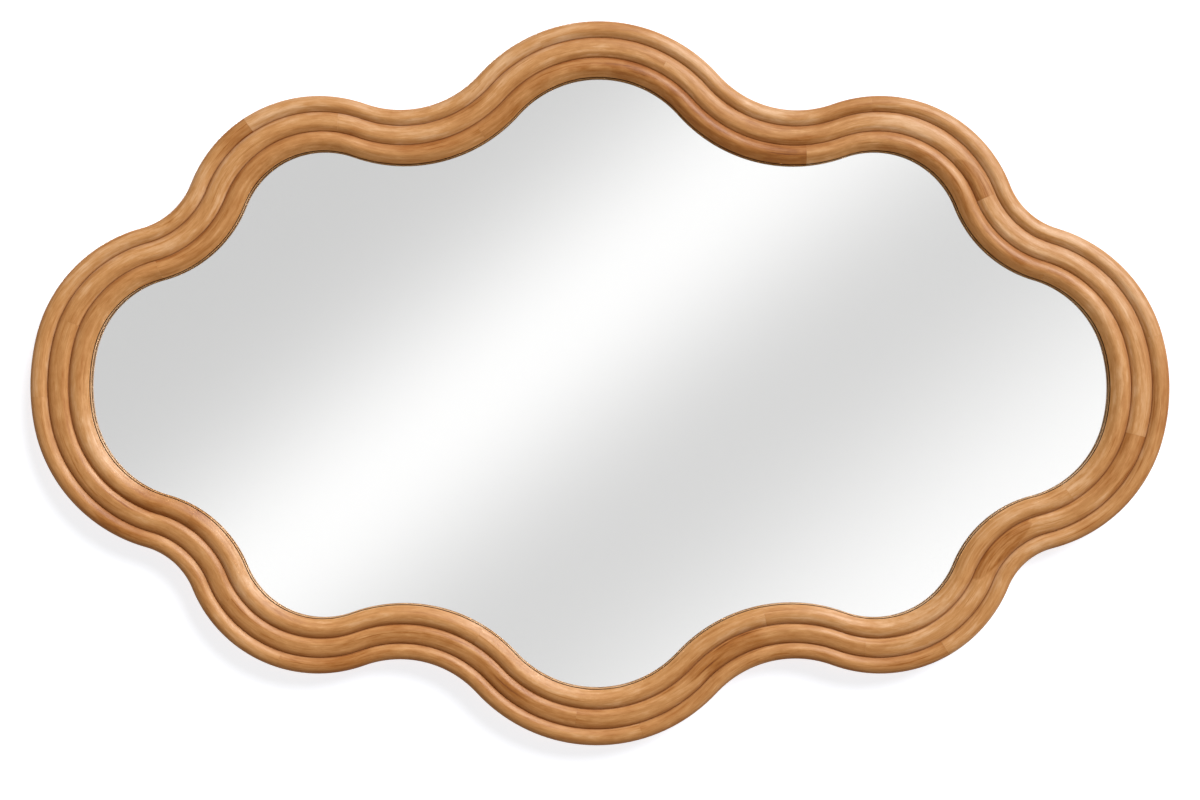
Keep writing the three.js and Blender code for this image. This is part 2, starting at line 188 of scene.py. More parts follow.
# Each hanger's place is the middle of its eye, and its screws stand below that.
HANGER_X = 397
HANGER_Z = 251
PIVOT_Y = -3.2
STRAP_SCREW_DROPS = (24, 36)
SIDES = {"left": -HANGER_X, "right": HANGER_X}
BAND_POINTS = 16
STRAP_LAY = 0.1

# A pad lies at the middle of a lobe, given by the lobe's number from 0 at the top.
PAD_LOBES = {"upper_right": 1, "lower_right": 4, "lower_left": 6, "upper_left": 9}
PAD_OFFSET = 19.3
PAD_SIDES = 48

CAMERA_PLACE = (0.45, -3015.3, -16.1)
CAMERA_LENS = 85
FILM_WIDTH = 36

# The wall and the studio, in metres and in the shaders' own colours. A light band is how bright it is,
# where its middle lies on the slant, and its width.
WALL_REACH = (9, 6)
WALL_GAP = 0.0004
WALL_PAINT = (0.6, 0.6, 0.6, 1.0)
WALL_GLOW = (0.955, 1.0, 1.075, 1.0)
STUDIO_LEVEL = 0.64
STUDIO_SLANT = (0.640, -0.768)
LIGHT_BANDS = [(0.392, -0.028, 0.043), (0.392, 0.135, 0.063), (0.24, 0.52, 0.14), (0.24, -0.45, 0.12)]
FILL_LEVEL, FILL_TINT = 0.26, (1.12, 0.92, 0.62, 1.0)
WHITE = (1.0, 1.0, 1.0, 1.0)


def bearing(start, end):
    return math.atan2(end[1] - start[1], end[0] - start[0])


def link_centre(lobe, following):
    """The centre of the arc that touches a lobe and the one after it."""
    x, z, radius, link, link_radius = lobe
    side = 1 if link == "valley" else -1
    reach = link_radius + side * radius
    reach_next = link_radius + side * following[2]
    gap = math.hypot(following[0] - x, following[1] - z)
    along = (gap ** 2 + reach ** 2 - reach_next ** 2) / (2 * gap)
    across = side * math.sqrt(reach ** 2 - along ** 2)
    ux, uz = (following[0] - x) / gap, (following[1] - z) / gap
    return x + along * ux - across * uz, z + along * uz + across * ux


def frame_arcs():
    """The arcs of the middle line: centre, radius, first angle, sweep, turn, length and start."""
    count = len(LOBES)
    centres = [link_centre(lobe, LOBES[(i + 1) % count]) for i, lobe in enumerate(LOBES)]

    def contact(lobe, centre, link):
        return bearing(lobe, centre) if link == "valley" else bearing(centre, lobe)

    arcs, start = [], 0.0
    for i, lobe in enumerate(LOBES):
        before, following = LOBES[i - 1], LOBES[(i + 1) % count]
        turn = 1 if lobe[3] == "valley" else -1
        comes_in, goes_out = contact(lobe, centres[i - 1], before[3]), contact(lobe, centres[i], lobe[3])
        pieces = [
            (lobe[:2], lobe[2], comes_in, goes_out, -1),
            (centres[i], lobe[4], bearing(centres[i], lobe), bearing(centres[i], following), turn),
        ]
        for centre, radius, first, last, way in pieces:
            sweep = way * ((way * (last - first)) % (2 * math.pi))
            arcs.append((centre, radius, first, sweep, way, radius * abs(sweep), start))
            start += radius * abs(sweep)
    return arcs, start


ARCS, LINE_LENGTH = frame_arcs()


def place(distance, offset):
    """x and z at a distance along the middle line and an offset across it."""
    along = distance % LINE_LENGTH
    centre, radius, first, sweep, turn, length, start = [arc for arc in ARCS if arc[6] <= along][-1]
    angle = first + sweep * (along - start) / length
    reach = radius - turn * offset
    scale = 1 + GROWTH * offset
    return scale * (centre[0] + reach * math.cos(angle)), scale * (centre[1] + reach * math.sin(angle))


def screw_seat(number):
    return place(FIRST_PANEL_SCREW + LINE_LENGTH * number / PANEL_SCREWS, PANEL_SCREW_OFFSET)


SCREW_SEATS = [screw_seat(number) for number in range(PANEL_SCREWS)]


def line_stations():
    """Even steps round each arc."""
    stations = []
    for _, _, _, sweep, _, length, start in ARCS:
        steps = math.ceil(abs(sweep) / ARC_STEP)
        stations += [start + length * i / steps for i in range(steps)]
    return stations


STATIONS = line_stations()


def at_height(x, z, height):
    return x * MM, (BACK_Y - height) * MM, z * MM


# ---- Meshes ----

def new_piece(name, points, faces, materials, face_materials=None):
    """A smooth-shaded object with its corners left crisp."""
    mesh = bpy.data.meshes.new(name)
    mesh.from_pydata(points, [], faces)
    for material in materials:
        mesh.materials.append(material)
    if face_materials:
        mesh.polygons.foreach_set("material_index", face_materials)
    mesh.shade_smooth()
    mesh.set_sharp_from_angle(angle=EDGE_ANGLE)
    mesh.validate()
    piece = bpy.data.objects.new(name, mesh)
    bpy.context.scene.collection.objects.link(piece)
    return piece


def loft_faces(rows, columns, closed_rows=False):
    """Faces between rows of points, each row a closed loop. Open lofts get a face at each end."""
    faces = []
    for i in range(rows if closed_rows else rows - 1):
        here, there = i * columns, ((i + 1) % rows) * columns
        for j in range(columns):
            k = (j + 1) % columns
            faces.append((here + j, here + k, there + k, there + j))
    if not closed_rows:
        faces.append(tuple(reversed(range(columns))))
        faces.append(tuple((rows - 1) * columns + j for j in range(columns)))
    return faces


def facing_out(piece):
    """Turns a closed mesh's faces outwards."""
    work = bmesh.new()
    work.from_mesh(piece.data)
    bmesh.ops.recalc_face_normals(work, faces=work.faces)
    work.to_mesh(piece.data)
    work.free()
    return piece


def fit(piece, slot, *nodes, body="frame"):
    """Puts a finished piece on its body in the place of its CAD nodes."""
    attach(piece, body)
    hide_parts(*nodes)
    return piece


# ---- Staves ----

def outer_side(crest, edge, half_height, end_angle):
    """The outer side of a reed, from its edge up to its crest."""
    end = math.radians(end_angle)
    points = []
    for i in range(REED_STEPS + 1):
        angle = end + (math.pi / 2 - end) * i / REED_STEPS
        across = (edge - crest[0]) * math.cos(angle) / math.cos(end)
        points.append((crest[0] + across, crest[1] - half_height * (1 - math.sin(angle))))
    return points


def inner_side(crest, edge, steepness, rounding):
    """The inner side of a reed, from just below its crest down to its edge."""
    points = []
    for i in range(1, REED_STEPS + 1):
        across = (crest[0] - edge) * i / REED_STEPS
        drop = steepness * (math.hypot(across, rounding) - rounding)
        points.append((crest[0] - across, crest[1] - drop))
    return points


def reed_front(ring, outer, inner):
    reed = REEDS[ring]
    rise = outer_side(reed["crest"], outer, *reed["outer_side"])
    return rise + inner_side(reed["crest"], inner, *reed["inner_side"])


def outer_section():
    inner = OUTER_GROOVE + JOINT_GAP / 2
    ease = []
    for i in range(EASE_STEPS + 1):
        angle = math.pi / 2 * i / EASE_STEPS
        across = OUTER_EDGE - BACK_EASE * (1 - math.sin(angle))
        ease.append((across, BACK_EASE * (1 - math.cos(angle))))
    return [(inner, 0)] + ease + reed_front("outer", OUTER_EDGE, inner)


def middle_section():
    outer, inner = OUTER_GROOVE - JOINT_GAP / 2, INNER_GROOVE + JOINT_GAP / 2
    return [(inner, 0), (outer, 0)] + reed_front("middle", outer, inner)


def inner_section():
    outer = INNER_GROOVE - JOINT_GAP / 2
    back = [(REBATE_WALL, INNER_RING_BACK), (outer, INNER_RING_BACK)]
    near, far = LIP_GROOVE
    front = reed_front("inner", outer, near)
    groove = [(near - 0.03, front[-1][1] - 0.5), (near - 0.06, LIP_GROOVE_FLOOR), (far, LIP_GROOVE_FLOOR)]
    lip = [(far - 0.05, LIP_TOP - 0.1), (far - 0.2, LIP_TOP), (INNER_EDGE + 0.2, LIP_TOP - 0.05)]
    wall = [(INNER_EDGE, LIP_TOP - 0.3), (INNER_EDGE, LIP), (REBATE_WALL, LIP)]
    return back + front + groove + lip + wall


SECTIONS = {"outer": outer_section(), "middle": middle_section(), "inner": inner_section()}


def soft_step(low, high, value):
    if high <= low:
        return 1.0 if value >= low else 0.0
    share = min(1.0, max(0.0, (value - low) / (high - low)))
    return share * share * (3 - 2 * share)


def stave_tone(ring, index, distance):
    """The tone of a stave, drawn towards its neighbour's near a joint that doesn't show."""
    joints, tones = RINGS[ring], STAVE_TONES[ring]
    own, following = tones[index], (index + 1) % len(joints)
    near_start = 1 - soft_step(0, TONE_BLEND, (distance - joints[index]) % LINE_LENGTH)
    near_end = 1 - soft_step(0, TONE_BLEND, (joints[following] - distance) % LINE_LENGTH)
    tone = own
    if (ring, joints[index]) not in CLEAR_JOINTS:
        tone += (tones[index - 1] - own) / 2 * near_start
    if (ring, joints[following]) not in CLEAR_JOINTS:
        tone += (tones[following] - own) / 2 * near_end
    return tone


def darkness(ring, index, distance):
    """How dark the wood of a stave is at a distance along the middle line."""
    tone = stave_tone(ring, index, distance)
    at = distance % LINE_LENGTH
    for name, start, end, depth, fade_in, fade_out in PATCHES:
        if name == ring:
            tone += depth * soft_step(start, start + fade_in, at) * (1 - soft_step(end - fade_out, end, at))
    return tone


def in_oval(ring, index, distance, offset):
    """Where a point lies in its stave's oval of heartwood: 1 away from the middle is on its edge."""
    for name, number, middle, height, half_length, half_width in HEART_OVALS:
        if (name, number) == (ring, index):
            return (distance - middle) / half_length, (offset - height) / half_width, 0.0
    return NO_OVAL


def painted_groove_shade(ring, offset, height):
    """How much painted shade lies on the wood: most in the grooves between reeds, some at the outer edge.
    """
    if height < PAINTED_SHADE_LOWEST:
        return 0.0
    # Painted shade, darker towards the outer edge.
    depth = RIM_PAINTED_SHADE * soft_step(*RIM_PAINTED_SHADE_FADE, offset)
    for name, groove in (("middle", OUTER_GROOVE), ("inner", INNER_GROOVE)):
        near = abs(offset - groove)
        depth = max(depth, GROOVE_PAINTED_SHADE * (1 - soft_step(*GROOVE_PAINTED_SHADE_FADE, near)))
        if ring == name:
            depth = max(depth, BANK_PAINTED_SHADE - near * BANK_PAINTED_SHADE_PER_MM)
        elif ring == "outer":
            depth = max(depth, OUTER_REED_PAINTED_SHADE * (1 - soft_step(*OUTER_REED_PAINTED_SHADE_FADE, near)))
    return depth


def dullness_and_lip_shade(offset, height):
    """How dull the wood is: 1 in the fine groove behind the lip, which the wood's shader also paints near
    black as painted shade, less on the lip and below the face.
    """
    near, far = LIP_GROOVE
    if offset >= near or height < LIP:
        return SIDE_DULL * (1 - soft_step(*SIDE_DULL_FADE, height))
    return 1.0 if offset >= far - 0.01 else LIP_DULL


def stave_stations(start, end):
    """Distances along a stave, with the steps next to its two ends left out."""
    steps = STATIONS + [at + LINE_LENGTH for at in STATIONS]
    inside = [at for at in steps if start + 1 < at < end - 1]
    return [start + JOINT_GAP / 2] + inside + [end - JOINT_GAP / 2]


def stave(ring, index, wood, draw):
    """One stave, whose points carry its grain's place, its tone with painted light on the lip, its painted
    shade and dullness, and its oval of heartwood.
    """
    joints, section = RINGS[ring], SECTIONS[ring]
    start, end = joints[index], joints[(index + 1) % len(joints)]
    if end < start:
        end += LINE_LENGTH
    stations = stave_stations(start, end)
    points, grain, shade, oval = [], [], [], []
    shift = Vector((draw.uniform(0, 9), draw.uniform(0, 0.5), draw.uniform(0, 0.5)))
    lean = draw.uniform(-0.012, 0.012)
    for at in stations:
        tone = darkness(ring, index, at)
        drift = lean * (at - start)
        for offset, height in section:
            points.append(at_height(*place(at, offset), height))
            grain.append(shift + Vector((at - start, offset + drift, height)) * MM)
            dull_and_shade = dullness_and_lip_shade(offset, height)
            # The lip is lifted by painted light, paler where it sits in shade.
            painted_lift = LIP_PAINTED_LIGHT if dull_and_shade == LIP_DULL else 0.0
            shade.append((tone - painted_lift, painted_groove_shade(ring, offset, height), dull_and_shade))
            oval.append(in_oval(ring, index, at, offset))
    faces = loft_faces(len(stations), len(section))
    piece = new_piece(f"{ring}_reed_{index + 1}", points, faces, [wood])
    for name, values in (("grain", grain), ("shade", shade), ("oval", oval)):
        attribute = piece.data.attributes.new(name, "FLOAT_VECTOR", "POINT")
        attribute.data.foreach_set("vector", [n for value in values for n in value])
    fit(facing_out(piece), "frame_wood", f"{ring}_stave_{index + 1}")


def staves(wood):
    draw = random.Random(7)
    for ring in RINGS:
        for index in range(len(RINGS[ring])):
            stave(ring, index, wood, draw)


# ---- Glass, card and back panel ----

def plate(name, offset, levels, materials, numbers=(0, 0, 0)):
    """A flat sheet cut to the frame's outline.

    levels are (how far in, height), from the front face to the back face. numbers says which of the
    materials the edge, the front face and the back face have.
    """
    points = [at_height(*place(at, offset - inset), height) for inset, height in levels for at in STATIONS]
    faces = loft_faces(len(levels), len(STATIONS))
    edge, front, back = numbers
    edges = [edge] * (len(faces) - 2)
    return facing_out(new_piece(name, points, faces, materials, edges + [front, back]))


def joined(name, *pieces):
    """One object of several closed meshes, which keep their materials."""
    first, chosen = pieces[0], list(pieces)
    with bpy.context.temp_override(
        active_object=first, selected_objects=chosen, selected_editable_objects=chosen
    ):
        bpy.ops.object.join()
    first.name = name
    return first


def cut_out(piece, cutter):
    """Takes the cutter out of a piece for good."""
    saw = piece.modifiers.new("cut", "BOOLEAN")
    saw.operation = "DIFFERENCE"
    saw.solver = "EXACT"
    saw.object = cutter
    graph = bpy.context.evaluated_depsgraph_get()
    cut = bpy.data.meshes.new_from_object(piece.evaluated_get(graph), depsgraph=graph)
    piece.modifiers.clear()
    piece.data = cut
    cut.set_sharp_from_angle(angle=EDGE_ANGLE)
    bpy.data.objects.remove(cutter)
    return piece


def turned(profile, sides):
    """A closed lathe shape about the Y axis, as points and faces. profile is (radius, y) end to end."""
    points, faces, rings = [], [], []
    for radius, y in profile:
        if radius == 0:
            rings.append([len(points)])
            points.append((0.0, y * MM, 0.0))
            continue
        rings.append(list(range(len(points), len(points) + sides)))
        for i in range(sides):
            angle = 2 * math.pi * i / sides
            points.append((radius * math.cos(angle) * MM, y * MM, radius * math.sin(angle) * MM))
    for one, two in zip(rings, rings[1:]):
        for i in range(sides):
            k = (i + 1) % sides
            corners = [one[i % len(one)], one[k % len(one)], two[k % len(two)], two[i % len(two)]]
            faces.append(tuple(dict.fromkeys(corners)))
    return points, faces


def drills(name, seats, radius, y, length):
    """One object of several round cutters along Y, each reaching length to both sides of y."""
    low, high = y - length, y + length
    rod_points, rod_faces = turned([(0, low), (radius, low), (radius, high), (0, high)], DRILL_SIDES)
    points, faces = [], []
    for x, z in seats:
        base = len(points)
        points += [(px + x * MM, py, pz + z * MM) for px, py, pz in rod_points]
        faces += [tuple(base + i for i in face) for face in rod_faces]
    return facing_out(new_piece(name, points, faces, []))


def eased(front, back, ease):
    """The levels of a sheet whose edges are taken off a little on both faces."""
    return [(ease, front), (0, front - ease), (0, back + ease), (ease, back)]


def mirror_glass(clear, silver, paint):
    """Clear glass, silvered on its back face, with a thin coat of paint behind the silver."""
    arris, paint_gap = 0.5, 0.04
    layers = [clear, silver, paint]
    glass_levels = eased(GLASS_FACE, GLASS_BACK, arris)
    coat_levels = [(arris, GLASS_BACK - paint_gap), (arris, PAINT_BACK)]
    glass = plate("mirror_glass_sheet", GLASS_OFFSET, glass_levels, layers, (0, 0, 1))
    coat = plate("mirror_paint_coat", GLASS_OFFSET, coat_levels, layers, (2, 2, 2))
    fit(joined("mirror_glass_sheet", glass, coat), "silvered_glass", "mirror_glass")


def backing(card, board):
    """The card, and the panel with its drilled and rounded edge."""
    sheet = plate("backing_card_sheet", CARD_OFFSET, eased(CARD_FRONT, CARD_BACK, 0.2), [card])
    fit(sheet, "grey_card", "backing_card")
    ease, middle, reach = 0.5, (PANEL_FRONT + PANEL_BACK) / 2, 6
    corner = [(0, PANEL_BACK + ease), (ease * 0.3, PANEL_BACK + ease * 0.3), (ease, PANEL_BACK)]
    panel = plate("back_panel_board", PANEL_OFFSET, [(0, PANEL_FRONT)] + corner, [board])
    cut_out(panel, drills("panel_drills", SCREW_SEATS, SCREW_HOLE, BACK_Y - middle, reach))
    fit(panel, "hardboard", "back_panel")


# ---- Screws ----

def screw_mesh(name, length, steel):
    """A round-headed wood screw along Y with a cross recess, seated at the origin."""
    head, height, rim, shank = 3.5, 2.1, 0.35, 1.75
    steps = [math.radians(degrees) for degrees in range(0, 90, 9)]
    dome = [(head * math.cos(a), rim + (height - rim) * math.sin(a)) for a in steps]
    tip = [(0, -length), (0.5, 1.2 - length), (shank, 4 - length)]
    profile = tip + [(shank, -0.2), (shank, 0), (head - 0.25, 0), (head, 0.2)] + dome + [(0, height)]
    points, faces = turned(profile, SCREW_SIDES)
    piece = facing_out(new_piece(name, points, faces, [steel]))
    for turn in (0, 1):
        cut_out(piece, recess_wing(turn, height))
    mesh = piece.data
    bpy.data.objects.remove(piece)
    return mesh


def recess_wing(turn, height):
    """One of the two tapered wings of the cross recess. Its ends are (half length, half width, height)."""
    floor, mouth = (0.9, 0.22, height - 1.35), (1.9, 0.36, height + 0.3)
    points = []
    for half, thick, y in (floor, mouth):
        for a, b in ((-half, -thick), (half, -thick), (half, thick), (-half, thick)):
            x, z = (a, b) if turn == 0 else (-b, a)
            points.append((x * MM, y * MM, z * MM))
    faces = [(3, 2, 1, 0), (4, 5, 6, 7), (0, 1, 5, 4), (1, 2, 6, 5), (2, 3, 7, 6), (3, 0, 4, 7)]
    return facing_out(new_piece("recess_wing", points, faces, []))


def screws(steel):
    """Every screw, each turned to a different angle."""
    draw = random.Random(3)
    panel, strap_kind = [
        screw_mesh(f"{kind}_screw_form", length, steel) for kind, length in SCREW_LENGTHS.items()
    ]
    rows = []
    for i, (x, z) in enumerate(SCREW_SEATS, 1):
        rows.append((panel, f"round_head_screw_{i}", f"panel_screw_{i}", x, PANEL_SEAT_Y, z))
    for side, x in SIDES.items():
        for i, drop in enumerate(STRAP_SCREW_DROPS, 1):
            names = f"strap_screw_{side}_{i}", f"hanger_screw_{side}_{i}"
            rows.append((strap_kind, *names, x, STRAP_SEAT_Y, HANGER_Z - drop))
    for mesh, name, node, x, y, z in rows:
        piece = bpy.data.objects.new(name, mesh)
        bpy.context.scene.collection.objects.link(piece)
        piece.rotation_euler = (0, draw.uniform(0, math.pi / 2), 0)
        piece.location = (x * MM, y * MM, z * MM)
        fit(piece, "plated_steel", node)


# ---- Hangers ----

def rounded_band(half, low, high, ease):
    """A closed loop round a strip's section: across, and height between low and high."""
    loop = []
    for cx, cy, first in (
        (half - ease, low + ease, -90), (half - ease, high - ease, 0),
        (ease - half, high - ease, 90), (ease - half, low + ease, 180),
    ):
        for i in range(BAND_POINTS // 4):
            angle = math.radians(first + 30 * i)
            loop.append((cx + ease * math.cos(angle), cy + ease * math.sin(angle)))
    return loop


def strap(side, x, steel):
    """A steel strap with a round lower end, rolled at its top into an eye."""
    length, half, thick, eye, ease = 44, 6, 1.2, 2.7, 0.3
    flat, middle = STRAP_LAY + thick / 2, eye - thick / 2
    roll, roll_steps = 296, 37
    rows = []
    for degrees in (4, 12, 22, 34, 48, 64, 80, 90):
        reach = half * (1 - math.cos(math.radians(degrees)))
        rows.append((reach - length, flat, 0.0, math.sqrt(half ** 2 - (half - reach) ** 2)))
    for z in (-30, -20, -10, -4, -1.5):
        rows.append((z, flat, 0.0, half))
    for i in range(roll_steps + 1):
        angle = math.radians(roll * i / roll_steps)
        rows.append((middle * math.sin(angle), STRAP_LAY + eye - middle * math.cos(angle), angle, half))
    points = []
    for z, height, angle, width in rows:
        for a, b in rounded_band(width, -thick / 2, thick / 2, min(ease, width / 3)):
            points.append((
                (x + a) * MM,
                (BACK_Y + height + b * math.cos(angle)) * MM,
                (HANGER_Z + z - b * math.sin(angle)) * MM,
            ))
    piece = facing_out(new_piece(f"strap_{side}", points, loft_faces(len(rows), BAND_POINTS), [steel]))
    seats = [(x, HANGER_Z - drop) for drop in STRAP_SCREW_DROPS]
    cut_out(piece, drills("strap_drills", seats, SCREW_HOLE, BACK_Y + flat, 3))
    fit(piece, "plated_steel", f"hanger_strap_{side}")


def d_ring(side, x, steel):
    """A bent wire ring: a straight bar, two short legs and a half circle."""
    half, leg, wire, corner, sides = 10.3, 5, 1.3, 2.0, 20
    corner_steps, round_steps, bar_steps = 6, 32, 8
    bar = half - corner
    line = []
    for i in range(corner_steps + 1):
        angle = math.radians(90 + 90 * i / corner_steps)
        line.append((corner * math.cos(angle) - bar, corner * math.sin(angle) - corner))
    for i in range(round_steps + 1):
        angle = math.pi * (1 + i / round_steps)
        line.append((half * math.cos(angle), half * math.sin(angle) - leg))
    for i in range(corner_steps + 1):
        angle = math.radians(90 * i / corner_steps)
        line.append((bar + corner * math.cos(angle), corner * math.sin(angle) - corner))
    line += [(bar - 2 * bar * i / bar_steps, 0.0) for i in range(1, bar_steps)]
    points, count = [], len(line)
    for i, (px, pz) in enumerate(line):
        ax, az = line[i - 1]
        bx, bz = line[(i + 1) % count]
        size = math.hypot(bx - ax, bz - az)
        nx, nz = (bz - az) / size, -(bx - ax) / size
        for j in range(sides):
            angle = 2 * math.pi * j / sides
            out, back = wire * math.cos(angle), wire * math.sin(angle)
            across, up = x + px + nx * out, HANGER_Z + pz + nz * out
            points.append((across * MM, (PIVOT_Y + back) * MM, up * MM))
    faces = loft_faces(count, sides, closed_rows=True)
    piece = facing_out(new_piece(f"d_ring_{side}", points, faces, [steel]))
    fit(piece, "plated_steel", f"hanger_ring_{side}", body=f"ring_{side}")


def pads(rubber):
    """A moulded pad on each of four lobes, its shoulder rounded towards the wall."""
    foot = [(0, 0.2), (5.7, 0.2), (6, 0.5), (6, 2.4)]
    steps = [math.radians(degrees) for degrees in range(12, 80, 12)]
    shoulder = [(4.6 + 1.4 * math.cos(a), 2.4 + 3.3 * math.sin(a)) for a in steps]
    points, faces = turned(foot + shoulder + [(4.3, 5.86), (3.4, 5.96), (0, 6)], PAD_SIDES)
    for corner, lobe in PAD_LOBES.items():
        length, start = ARCS[2 * lobe][5:]
        x, z = place(start + length / 2, PAD_OFFSET)
        placed = [(px + x * MM, py + BACK_Y * MM, pz + z * MM) for px, py, pz in points]
        piece = facing_out(new_piece(f"bumper_{corner}", placed, faces, [rubber]))
        fit(piece, "soft_rubber", f"wall_pad_{corner}")


# ---- Finishes ----

def colour(red, green, blue):
    """A colour as seen on a screen, 0 to 255, as the shader wants it."""
    def linear(value):
        share = value / 255
        return share / 12.92 if share <= 0.04045 else ((share + 0.055) / 1.055) ** 2.4
    return linear(red), linear(green), linear(blue), 1.0


class Value:
    """A socket whose arithmetic adds Math nodes to the finish that it belongs to."""

    def __init__(self, finish, socket):
        self.finish, self.socket = finish, socket

    def math(self, operation, first, second=0.0, clamp=False):
        settings = {"operation": operation, "use_clamp": clamp}
        return self.finish.node("ShaderNodeMath", settings, {0: first, 1: second})

    def __add__(self, other):
        return self.math("ADD", self, other)

    def __sub__(self, other):
        return self.math("SUBTRACT", self, other)

    def __rsub__(self, other):
        return self.math("SUBTRACT", other, self)

    def __mul__(self, other):
        return self.math("MULTIPLY", self, other)

    def __truediv__(self, other):
        return self.math("DIVIDE", self, other)

    __radd__ = __add__
    __rmul__ = __mul__

    def clamped(self):
        return self.math("ADD", self, 0.0, clamp=True)

    def sine(self):
        return self.math("SINE", self)

    def bell(self):
        """1 where the value is 0, falling smoothly to 0 on both sides."""
        return self.math("EXPONENT", 0 - self * self)


class Finish:
    """A node tree and the ways its nodes are added."""

    def __init__(self, tree):
        self.tree = tree
        tree.nodes.clear()

    def node(self, kind, settings, inputs, output=0):
        """A new node: its settings first, then its sockets' values or links. Gives one of its outputs."""
        made = self.tree.nodes.new(kind)
        for name, value in settings.items():
            if name == "stops":
                ramp = made.color_ramp
                while len(ramp.elements) < len(value):
                    ramp.elements.new(0.5)
                for element, (position, shade) in zip(ramp.elements, value):
                    element.position, element.color = position, shade
            else:
                setattr(made, name, value)
        for key, value in inputs.items():
            if isinstance(value, Value):
                self.tree.links.new(value.socket, made.inputs[key])
            else:
                made.inputs[key].default_value = value
        return Value(self, made.outputs[output]) if made.outputs else None

    def attribute(self, name):
        return self.node("ShaderNodeAttribute", {"attribute_name": name}, {}, "Vector")

    def place(self):
        return self.node("ShaderNodeTexCoord", {}, {}, "Object")

    def split(self, vector):
        parts = self.node("ShaderNodeSeparateXYZ", {}, {0: vector})
        return [Value(self, socket) for socket in parts.socket.node.outputs]

    def stretched(self, vector, stretch):
        return self.node("ShaderNodeVectorMath", {"operation": "MULTIPLY"}, {0: vector, 1: stretch})

    def noise(self, vector, stretch, detail=2.0, rough=0.5, output=0):
        """Cloudy noise from 0 to 1. stretch is how many blotches fit in a metre along each axis."""
        return self.node(
            "ShaderNodeTexNoise", {},
            {"Vector": self.stretched(vector, stretch), "Scale": 1.0, "Detail": detail, "Roughness": rough},
            output,
        )

    def between(self, value, low, high):
        """0 below low and 1 above high, smooth between them."""
        return self.node(
            "ShaderNodeMapRange", {"interpolation_type": "SMOOTHSTEP"},
            {"Value": value, "From Min": low, "From Max": high},
        )

    def ramp(self, value, stops):
        return self.node("ShaderNodeValToRGB", {"stops": stops}, {0: value})

    def mix(self, share, one, two):
        """One colour where share is 0 and two where it is 1."""
        return self.node("ShaderNodeMix", {"data_type": "RGBA"}, {0: share, 6: one, 7: two}, 2)

    def bump(self, height, strength, distance):
        inputs = {"Height": height, "Strength": strength, "Distance": distance}
        return self.node("ShaderNodeBump", {}, inputs)

    def surface(self, inputs):
        shader = self.node("ShaderNodeBsdfPrincipled", {}, inputs)
        self.node("ShaderNodeOutputMaterial", {}, {0: shader})


def new_finish(name):
    material = bpy.data.materials.new(name)
    material.use_nodes = True
    return material, Finish(material.node_tree)


def satin_wood():
    """Warm brown wood, its grain along each stave, with growth rings, streaks, pores, and painted shade in
    its grooves and at its outer edge.
    """
    material, work = new_finish("satin_wood")
    grain = work.attribute("grain")
    # The second part carries the painted shade of the grooves and the outer edge, and the third carries
    # dullness and the painted shade of the fine groove behind the lip.
    tone, groove, dull_and_shade = work.split(work.attribute("shade"))
    sway = work.noise(grain, (5.0, 16.0, 16.0), 1.0, output=1)
    sideways = {0: sway, 1: (0.0, 0.012, 0.012), 2: grain}
    wavy = work.node("ShaderNodeVectorMath", {"operation": "MULTIPLY_ADD"}, sideways)
    _, across, height = work.split(wavy)
    cloud = work.noise(wavy, (11.0, 55.0, 55.0), 2.0) - 0.5
    mottle = work.noise(wavy, (42.0, 165.0, 165.0), 3.0, 0.6) - 0.5
    streak = work.noise(wavy, (16.0, 430.0, 430.0), 3.0, 0.6) - 0.5
    fibre = work.noise(wavy, (120.0, 1500.0, 1500.0), 2.0, 0.6) - 0.5
    vein = work.between(work.noise(wavy, (9.0, 420.0, 420.0), 2.0, 0.55), 0.60, 0.74)
    pore = work.between(work.noise(grain, (230.0, 3600.0, 3600.0), 1.0), 0.66, 0.78)
    ring_spacing = 0.0041
    layers = across * 0.55 + height * 0.85
    rings = (layers * (2 * math.pi / ring_spacing) + mottle * 5.0).sine()
    oval = work.attribute("oval")
    away = work.node("ShaderNodeVectorMath", {"operation": "LENGTH"}, {0: oval}, 1)
    heart = 1 - work.between(away + mottle * 0.35 + streak * 0.15, 0.92, 1.02)
    dark = tone + cloud * 0.45 + mottle * 0.60 + streak * 0.40 + fibre * 0.30 + rings * 0.035
    dark = dark + vein * (tone * 0.4 + 0.05) + pore * 0.10 + heart * (0.24 + streak * 0.4)
    timber = work.ramp(dark.clamped(), [
        (0.0, colour(236, 193, 149)),
        (0.35, colour(203, 147, 90)),
        (0.7, colour(167, 105, 46)),
        (1.0, colour(117, 61, 20)),
    ])
    # Painted shade: the grooves, their banks and the outer edge darken towards a deep brown, and the fine
    # groove behind the lip is painted near black.
    timber_with_painted_shade = work.mix(groove, timber, colour(116, 53, 6))
    timber_with_painted_shade = work.mix(work.between(dull_and_shade, LIP_DULL, 1.0), timber_with_painted_shade, colour(50, 26, 8))
    relief = fibre * 0.8 + streak * 0.5 + mottle * 0.8 - pore * 0.6
    work.surface({
        "Base Color": timber_with_painted_shade,
        "Roughness": 0.40 + fibre * 0.25 + pore * 0.15 + groove * 0.8 + dull_and_shade * 1.2,
        "Normal": work.bump(relief, 0.3, 0.0003),
        "Specular IOR Level": 0.3,
    })
    return material


def clear_glass():
    material, work = new_finish("clear_glass")
    dust = work.noise(work.place(), (35.0, 35.0, 35.0), 3.0)
    work.surface({
        "Base Color": (0.992, 0.995, 0.993, 1.0),
        "Roughness": work.between(dust, 0.55, 0.9) * 0.004,
        "IOR": 1.5,
        "Transmission Weight": 1.0,
    })
    return material


